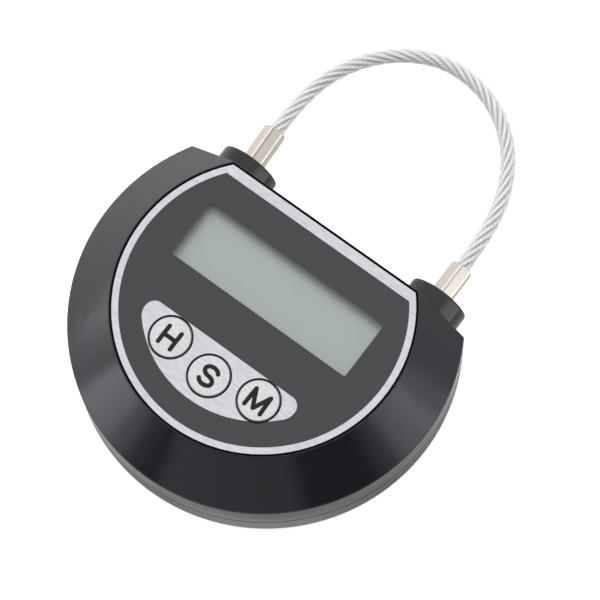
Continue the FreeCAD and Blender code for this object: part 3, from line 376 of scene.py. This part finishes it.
def see_through(name, tint, ior, roughness, milk_colour=None, milk_share=0.0):
    """Clear plastic: lets light through, and mirrors more and more towards its edges. Milk
    makes it cloudy, by milk_share where it is seen square on and fully where it is edge on."""
    material = new_material(name)
    body = node(material, "ShaderNodeBsdfTransparent", {"Color": hex_colour(tint)})
    rough = node(material, "ShaderNodeMapRange", {
        "Value": grain(material, scuff_size),
        "To Min": roughness[0], "To Max": roughness[1],
    })
    gloss = node(material, "ShaderNodeBsdfGlossy", {
        "Roughness": rough, "Color": hex_colour("#ffffff"),
    })
    mirror = node(material, "ShaderNodeFresnel", {"IOR": ior})
    side = node(material, "ShaderNodeNewGeometry")
    from_outside = node(material, "ShaderNodeMath", {
        0: mirror, 1: side.outputs["Backfacing"],
    }, operation="SUBTRACT")
    outer_mirror = node(material, "ShaderNodeMath", {
        0: from_outside, 1: 0.0,
    }, operation="MAXIMUM")
    plastic = node(material, "ShaderNodeMixShader", {0: outer_mirror, 1: body, 2: gloss})
    if milk_colour:
        milk = node(material, "ShaderNodeBsdfPrincipled", {
            "Base Color": hex_colour(milk_colour), "Roughness": milk_roughness,
        })
        edge = node(material, "ShaderNodeLayerWeight", {"Blend": milk_edge})
        cloudy = node(material, "ShaderNodeMapRange", {
            "Value": edge.outputs["Facing"], "From Min": milk_start,
            "To Min": milk_share, "To Max": 1.0,
        })
        plastic = node(material, "ShaderNodeMixShader", {0: cloudy, 1: plastic, 2: milk})
    node(material, "ShaderNodeOutputMaterial", {"Surface": plastic})
    return material


# Cast acrylic sheet: water clear with a hard polish.
acrylic = see_through("cast_acrylic_window", "#fdfffe", 1.49, (0.02, 0.05))
# Extruded clear PVC over the rope: glassy in the middle, milky where it is seen edge on.
clear_pvc = see_through(
    "extruded_clear_pvc", "#ffffff", 1.45, (0.08, 0.16), milk_colour="#f0f0f1", milk_share=0.06
)

node_finishes = {
    gloss_abs: ("front_shell",),
    satin_abs: ("rear_shell",),
    drawn_abs: ("release_collar", "anchor_collar"),
    printed_film: ("face_panel",),
    brushed_foil: ("foil_border", "foil_key_patch"),
    stamped_silver: ("hour_key", "set_key", "minute_key"),
    acrylic: ("display_window",),
    black_foam: ("zebra_strip", "battery_tape"),
    grey_foam: ("lcd_gasket",),
    display_glass: ("lcd_panel",),
    white_abs: ("lcd_frame", "hour_plunger", "set_plunger", "minute_plunger"),
    solder_mask: ("main_pcb",),
    black_epoxy: ("controller_chip", "tact_switches"),
    nickel_steel: (
        "charge_socket", "gear_motor", "motor_strap", "latch_bolt", "latch_cover",
        "socket_sleeve", "anchor_clip", "case_screws", "board_screws", "mechanism_screws",
    ),
    pouch_foil: ("battery_cell",),
    hobbed_brass: ("drive_pinion",),
    waxy_acetal: ("latch_housing",),
    captive_barrel: ("anchor_terminal",),
    free_barrel: ("release_plug",),
}
for material, names in node_finishes.items():
    for name in names:
        mesh = nodes[name].data
        mesh.materials.clear()
        mesh.materials.append(material)

# --- Shackle rope -----------------------------------------------------------------------------
# Corners of the rope's route in metres, from the bottom of the captive barrel's bore round
# to the bottom of the plug's.
rope_route = [
    (-0.01822, 0.0224), (-0.01872, 0.0320), (-0.0170, 0.0415), (-0.0115, 0.0494),
    (-0.0032, 0.0541), (0.0062, 0.0535), (0.0142, 0.0485), (0.0191, 0.0403),
    (0.02055, 0.0309), (0.02055, 0.0215),
]
rope_steps = 32  # points of the line for each corner of the route
sleeve_radius = 1.3 * MM
sleeve_sides = 28
core_sides = 8
strand_count = 6
strand_radius = 0.39 * MM
strand_circle = 0.79 * MM
rope_lay = 13.6 * MM  # length along the rope in which a strand goes once round
wire_count = 6
wire_steps = 4  # points round each wire of a strand's outline
wire_lay = 4.6 * MM  # length along the rope in which a wire goes once round its strand


def smooth_line(name, route, height, resolution):
    """Points of the smooth spline that the route's corners steer."""
    curve = bpy.data.curves.new(name, "CURVE")
    curve.dimensions = "3D"
    curve.resolution_u = resolution
    spline = curve.splines.new("NURBS")
    spline.points.add(len(route) - 1)
    for point, (x, y) in zip(spline.points, route):
        point.co = (x, y, height, 1.0)
    spline.order_u = 3
    spline.use_endpoint_u = True
    holder = bpy.data.objects.new(name, curve)
    mesh = bpy.data.meshes.new_from_object(holder)
    points = [v.co.copy() for v in mesh.vertices]
    bpy.data.objects.remove(holder)
    bpy.data.meshes.remove(mesh)
    return points


def stations(points):
    """Each point with its direction and the length of line up to it."""
    found = []
    length = 0.0
    for i, point in enumerate(points):
        before = points[max(i - 1, 0)]
        after = points[min(i + 1, len(points) - 1)]
        length += (point - before).length
        found.append((point, (after - before).normalized(), length))
    return found


def swept(mesh_builder, line, outline):
    """Adds a capped tube to a mesh. outline gives its (up, across) points at a length of line.
    Each point's distance from the line is stored as off_axis, for the painted highlight along
    the strands' tops."""
    up = Vector((0, 0, 1))
    off_axis = mesh_builder.verts.layers.float.get("off_axis")
    off_axis = off_axis or mesh_builder.verts.layers.float.new("off_axis")
    rings = []
    for point, ahead, length in line:
        across = ahead.cross(up)
        rings.append([])
        for a, b in outline(length):
            rings[-1].append(mesh_builder.verts.new(point + up * a + across * b))
            rings[-1][-1][off_axis] = math.hypot(a, b)
    for first, second in zip(rings, rings[1:]):
        count = len(first)
        for i in range(count):
            j = (i + 1) % count
            mesh_builder.faces.new((first[i], first[j], second[j], second[i]))
    mesh_builder.faces.new(reversed(rings[0]))
    mesh_builder.faces.new(rings[-1])


def add_piece(name, mesh_builder, material):
    mesh = bpy.data.meshes.new(name)
    bmesh.ops.recalc_face_normals(mesh_builder, faces=mesh_builder.faces)
    mesh_builder.to_mesh(mesh)
    mesh_builder.free()
    mesh.materials.append(material)
    for face in mesh.polygons:
        face.use_smooth = len(face.vertices) == 4
    piece = bpy.data.objects.new(name, mesh)
    bpy.context.scene.collection.objects.link(piece)
    return piece


def circle_outline(radius, sides):
    turns = [2 * math.pi * i / sides for i in range(sides)]
    points = [(radius * math.cos(t), radius * math.sin(t)) for t in turns]
    return lambda length: points


def strand_outline(number):
    """Six wires round a seventh, turning against the rope's lay so that they run along it."""
    wire = strand_radius / 3
    def at(length):
        round_rope = 2 * math.pi * (number / strand_count + length / rope_lay)
        middle = (strand_circle * math.cos(round_rope), strand_circle * math.sin(round_rope))
        turned = -2 * math.pi * length / wire_lay
        points = []
        for i in range(wire_count * wire_steps):
            off_wire = math.pi / wire_count * (2 * (i % wire_steps) / wire_steps - 1)
            side = 2 * wire * math.sin(off_wire)
            reach = 2 * wire * math.cos(off_wire) + math.sqrt(max(wire**2 - side**2, 0.0))
            t = turned + 2 * math.pi * i / (wire_count * wire_steps)
            points.append((middle[0] + reach * math.cos(t), middle[1] + reach * math.sin(t)))
        return points
    return at


rope_line = stations(smooth_line("rope_line", rope_route, rope_height, rope_steps))
coarse_line = rope_line[::2]  # enough for the plain tubes

builder = bmesh.new()
for strand in range(strand_count):
    swept(builder, rope_line, strand_outline(strand))
swept(builder, coarse_line, circle_outline(strand_radius, core_sides))
wire_strands = add_piece("rope_strands", builder, drawn_wire)

builder = bmesh.new()
swept(builder, coarse_line, circle_outline(sleeve_radius, sleeve_sides))
rope_sleeve = add_piece("rope_sleeve", builder, clear_pvc)

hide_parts("shackle_cable")
for piece in (wire_strands, rope_sleeve):
    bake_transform(piece)

# --- Key letters ------------------------------------------------------------------------------
letter_height = 3.12 * MM  # between the ends of the pen's path
letter_width = 2.4 * MM
letter_drop = 0.17 * MM  # how far the letters sit below the middle of their keys
pen_radius = 0.37 * MM
ink_thickness = 0.015 * MM
ink_cell = 0.075 * MM
ink_reach = 2.6 * MM  # how far from a key's middle its letter may go
arc_steps = 14


def arc_path(x, y, radius_x, radius_y, start, end):
    turns = [
        math.radians(start + (end - start) * i / arc_steps) for i in range(arc_steps + 1)
    ]
    return [(x + radius_x * math.cos(t), y + radius_y * math.sin(t)) for t in turns]


# Pen paths in units of half the letter's width and height.
letter_paths = {
    "hour": [[(-1, -1), (-1, 1)], [(1, -1), (1, 1)], [(-1, 0), (1, 0)]],
    "set": [
        arc_path(0, 0.56, 0.98, 0.52, 20, 270) + arc_path(0, -0.48, 0.98, 0.52, 90, -160)
    ],
    "minute": [[(-1.28, -1), (-1.2, 1), (0, -0.9), (1.2, 1), (1.28, -1)]],
}


def pen_distance(x, y, paths):
    """Distance from a point to the nearest stroke's edge, negative inside the ink."""
    nearest = 1.0  # a metre, which is past every stroke
    for path in paths:
        for (x0, y0), (x1, y1) in zip(path, path[1:]):
            run_x, run_y = x1 - x0, y1 - y0
            share = ((x - x0) * run_x + (y - y0) * run_y) / (run_x**2 + run_y**2)
            share = min(max(share, 0.0), 1.0)
            nearest = min(nearest, math.hypot(x - x0 - share * run_x, y - y0 - share * run_y))
    return nearest - pen_radius


def ink_letter(name, paths, key):
    """Ink laid on the key's dome: a fine grid cut off along the strokes' edges."""
    scaled = [
        [(x * letter_width / 2, y * letter_height / 2 - letter_drop) for x, y in path]
        for path in paths
    ]
    low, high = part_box(key)
    middle = (low + high) / 2
    top = BVHTree.FromObject(nodes[key], bpy.context.evaluated_depsgraph_get())
    half = int(ink_reach / ink_cell)
    builder = bmesh.new()
    corners = {}  # of the grid: distance from the ink, and the point once it is made
    edges = {}  # of the grid, where the ink's edge crosses them

    def ink_point(x, y):
        spot = Vector((middle.x + x, middle.y + y, high.z + MM))
        hit = top.ray_cast(spot, Vector((0, 0, -1)))[0]
        return builder.verts.new((spot.x, spot.y, hit.z + ink_thickness))

    def corner(i, j):
        if (i, j) not in corners:
            corners[i, j] = [pen_distance(i * ink_cell, j * ink_cell, scaled), None]
        return corners[i, j]

    def corner_point(i, j):
        entry = corner(i, j)
        if entry[1] is None:
            entry[1] = ink_point(i * ink_cell, j * ink_cell)
        return entry[1]

    def edge_point(a, b):
        pair = (min(a, b), max(a, b))
        if pair not in edges:
            (i0, j0), (i1, j1) = pair
            d0, d1 = corner(i0, j0)[0], corner(i1, j1)[0]
            share = d0 / (d0 - d1)
            x = (i0 + (i1 - i0) * share) * ink_cell
            y = (j0 + (j1 - j0) * share) * ink_cell
            edges[pair] = ink_point(x, y)
        return edges[pair]

    for i in range(-half, half):
        for j in range(-half, half):
            square = [(i, j), (i + 1, j), (i + 1, j + 1), (i, j + 1)]
            outline = []
            for a, b in zip(square, square[1:] + square[:1]):
                if corner(*a)[0] < 0:
                    outline.append(corner_point(*a))
                if (corner(*a)[0] < 0) != (corner(*b)[0] < 0):
                    outline.append(edge_point(a, b))
            if len(outline) > 2:
                builder.faces.new(outline)
    return add_piece(name, builder, key_ink)


for key, paths in letter_paths.items():
    letter = ink_letter(key + "_letter", paths, key + "_key")
    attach(letter, key + "_button")

# --- Stage ------------------------------------------------------------------------------------
def seen_directly(owner):
    """1 for what the camera sees itself, and 1 for what it sees in gloss, metal and glass."""
    path = node(owner, "ShaderNodeLightPath")
    sheen = node(owner, "ShaderNodeMath", {
        0: path.outputs["Is Glossy Ray"], 1: path.outputs["Is Transmission Ray"],
    }, operation="MAXIMUM")
    return path.outputs["Is Camera Ray"], sheen


floor_size = 0.26
floor_height = -0.1 * MM
# How much the paper glows by itself: to the camera, and in gloss all over, on the left, and
# close up to the round wall in front.
camera_glow = 0.75
gloss_glow, left_glow, wall_glow = 0.03, 0.22, 0.3
# Limits for where(): the glow on the left, and the two ends of the glow in front.
left_limit = ("Object", "X", -28 * MM, -40 * MM)
front_limits = ("Object", "X", 2 * MM, 14 * MM), ("Object", "X", 32 * MM, 25 * MM)
wall_end, wall_full = 34.5 * MM, 33.7 * MM  # from the middle of the lock

# Matt white paper: it takes the object's shadow and stays white round it. Its underside is
# left out, so that the lock's back can be looked at from below.
white_paper = new_material("matt_white_paper")
camera_ray, sheen_ray = seen_directly(white_paper)
on_left = where(white_paper, left_limit)
in_front = where(white_paper, *front_limits)
spot = node(white_paper, "ShaderNodeTexCoord").outputs["Object"]
from_middle = node(white_paper, "ShaderNodeVectorMath", {0: spot}, operation="LENGTH")
near_wall = node(white_paper, "ShaderNodeMapRange", {
    "Value": from_middle.outputs["Value"], "From Min": wall_end, "From Max": wall_full,
})
at_wall = node(white_paper, "ShaderNodeMath", {0: near_wall, 1: in_front}, operation="MULTIPLY")
wall_part = node(white_paper, "ShaderNodeMath", {
    0: at_wall, 1: wall_glow, 2: gloss_glow,
}, operation="MULTIPLY_ADD")
gloss_part = node(white_paper, "ShaderNodeMath", {
    0: on_left, 1: left_glow, 2: wall_part,
}, operation="MULTIPLY_ADD")
in_gloss = node(white_paper, "ShaderNodeMath", {
    0: sheen_ray, 1: gloss_part,
}, operation="MULTIPLY")
paper_glow = node(white_paper, "ShaderNodeMath", {
    0: camera_ray, 1: camera_glow, 2: in_gloss,
}, operation="MULTIPLY_ADD")
paper_light = node(white_paper, "ShaderNodeEmission", {
    "Strength": paper_glow, "Color": hex_colour("#ffffff"),
})
paper_tone = node(white_paper, "ShaderNodeMix", {
    0: grain(white_paper, (1.5, 1.5, 1.5)),
    MIX_A: hex_colour("#e8e8e8"), MIX_B: hex_colour("#ececec"),
}, data_type="RGBA")
paper_matt = node(white_paper, "ShaderNodeBsdfDiffuse", {"Color": paper_tone.outputs[MIXED]})
paper_lit = node(white_paper, "ShaderNodeAddShader", {0: paper_matt, 1: paper_light})
paper_side = node(white_paper, "ShaderNodeNewGeometry").outputs["Backfacing"]
two_coats(white_paper, paper_side, paper_lit, node(white_paper, "ShaderNodeBsdfTransparent"))

builder = bmesh.new()
half = floor_size / 2
builder.faces.new([
    builder.verts.new((x, y, floor_height))
    for x, y in ((-half, -half), (half, -half), (half, half), (-half, half))
])
floor_mesh = bpy.data.meshes.new("floor")
builder.to_mesh(floor_mesh)
builder.free()
floor_mesh.materials.append(white_paper)
floor = bpy.data.objects.new("floor", floor_mesh)
bpy.context.scene.collection.objects.link(floor)

# The studio round the lock. It is white to the camera. Gloss and metal show a white tent
# overhead, open on the lower right, a lamp in a long strip, and a row of cards and lamps round
# the horizon.
studio_fill = 0.40  # what lights everything that isn't a mirror
# Each edge gives how far the view leans towards a direction, from -1 to 1, where a thing starts
# and where it is full.
tent_towards = (-0.70, 0.42, 0.58)
tent_edge = (-0.25, 0.42)
tent_dark = 0.10  # how bright the tent's open side is
strip_across = Vector((-0.26, 0.97, 0))
strip_edge = (-0.12, -0.04)
strip_end = (0.45, 0.55)
strip_bright = 2.3
horizon_top = (0.22, 0.42)
brightest_card = 4.0
# Bearing in degrees from +X towards +Y, and how bright the horizon is there.
horizon = [
    (-180, 1.2), (-166, 1.6), (-157, 2.0), (-149, 1.5), (-141, 1.15), (-134, 2.6), (-124, 2.2),
    (-115, 1.1), (-107, 0.4), (-100, 0.22), (-93, 0.62), (-67, 0.56), (-45, 0.5),
    (-37, 0.17), (-15, 0.17), (-6, 0.5), (4, 1.6), (14, 2.1), (23, 1.35), (33, 0.8),
    (60, 0.8), (100, 1.1), (180, 1.15),
]

world = bpy.data.worlds.new("studio")
bpy.context.scene.world = world
world.use_nodes = True
world.node_tree.nodes.clear()
towards = node(world, "ShaderNodeTexCoord").outputs["Generated"]


def studio_side(direction, edge, dark=0.0, white=1.0):
    """Runs from dark to white as the view leans towards a direction, across an edge."""
    lean = node(world, "ShaderNodeVectorMath", {
        0: towards, 1: direction,
    }, operation="DOT_PRODUCT")
    return node(world, "ShaderNodeMapRange", {
        "Value": lean.outputs["Value"], "From Min": edge[0], "From Max": edge[1],
        "To Min": dark, "To Max": white,
    }, interpolation_type="SMOOTHSTEP")


bearings = node(world, "ShaderNodeSeparateXYZ", {0: towards})
bearing = node(world, "ShaderNodeMath", {
    0: bearings.outputs["Y"], 1: bearings.outputs["X"],
}, operation="ARCTAN2")
turn_share = node(world, "ShaderNodeMapRange", {
    "Value": bearing, "From Min": -math.pi, "From Max": math.pi,
})
cards = node(world, "ShaderNodeValToRGB", {0: turn_share})
cards.color_ramp.interpolation = "EASE"
for i, (degrees, bright) in enumerate(horizon):
    place = (degrees + 180) / 360
    stop = cards.color_ramp.elements[i] if i < 2 else cards.color_ramp.elements.new(place)
    stop.position = place
    stop.color = (bright / brightest_card,) * 3 + (1.0,)
low_part = node(world, "ShaderNodeMath", {0: cards, 1: brightest_card}, operation="MULTIPLY")

strip_lamp = 1.0
for side in (
    studio_side(strip_across, strip_edge),
    studio_side(-strip_across, strip_edge),
    studio_side((1, 0, 0), strip_end, white=strip_bright),
):
    strip_lamp = node(world, "ShaderNodeMath", {0: strip_lamp, 1: side}, operation="MULTIPLY")
high_part = node(world, "ShaderNodeMath", {
    0: studio_side(tent_towards, tent_edge, dark=tent_dark), 1: strip_lamp,
}, operation="MAXIMUM")
reflected = node(world, "ShaderNodeMix", {
    0: studio_side((0, 0, 1), horizon_top), 2: low_part, 3: high_part,
})
camera_ray, sheen_ray = seen_directly(world)
lit = node(world, "ShaderNodeMix", {0: sheen_ray, 2: studio_fill, 3: reflected})
shown = node(world, "ShaderNodeMix", {0: camera_ray, 2: lit, 3: 1.0})
background = node(world, "ShaderNodeBackground", {
    "Strength": shown, "Color": hex_colour("#ffffff"),
})
node(world, "ShaderNodeOutputWorld", {"Surface": background})

# One large soft lamp high on the upper left. Gloss mirrors the studio, not the lamp.
lamp_place = Vector((-0.2, 0.2, 0.8))
lamp_aim = Vector((0, 0, 0.01))
main_light = bpy.data.lights.new("main_lamp", "AREA")
main_light.shape = "SQUARE"
main_light.size = 0.8
main_light.energy = 6.1
main_lamp = bpy.data.objects.new("main_lamp", main_light)
main_lamp.location = lamp_place
main_lamp.rotation_euler = (lamp_aim - lamp_place).to_track_quat("-Z", "Y").to_euler()
main_lamp.visible_glossy = False
bpy.context.scene.collection.objects.link(main_lamp)

bpy.context.scene.view_settings.view_transform = "Standard"
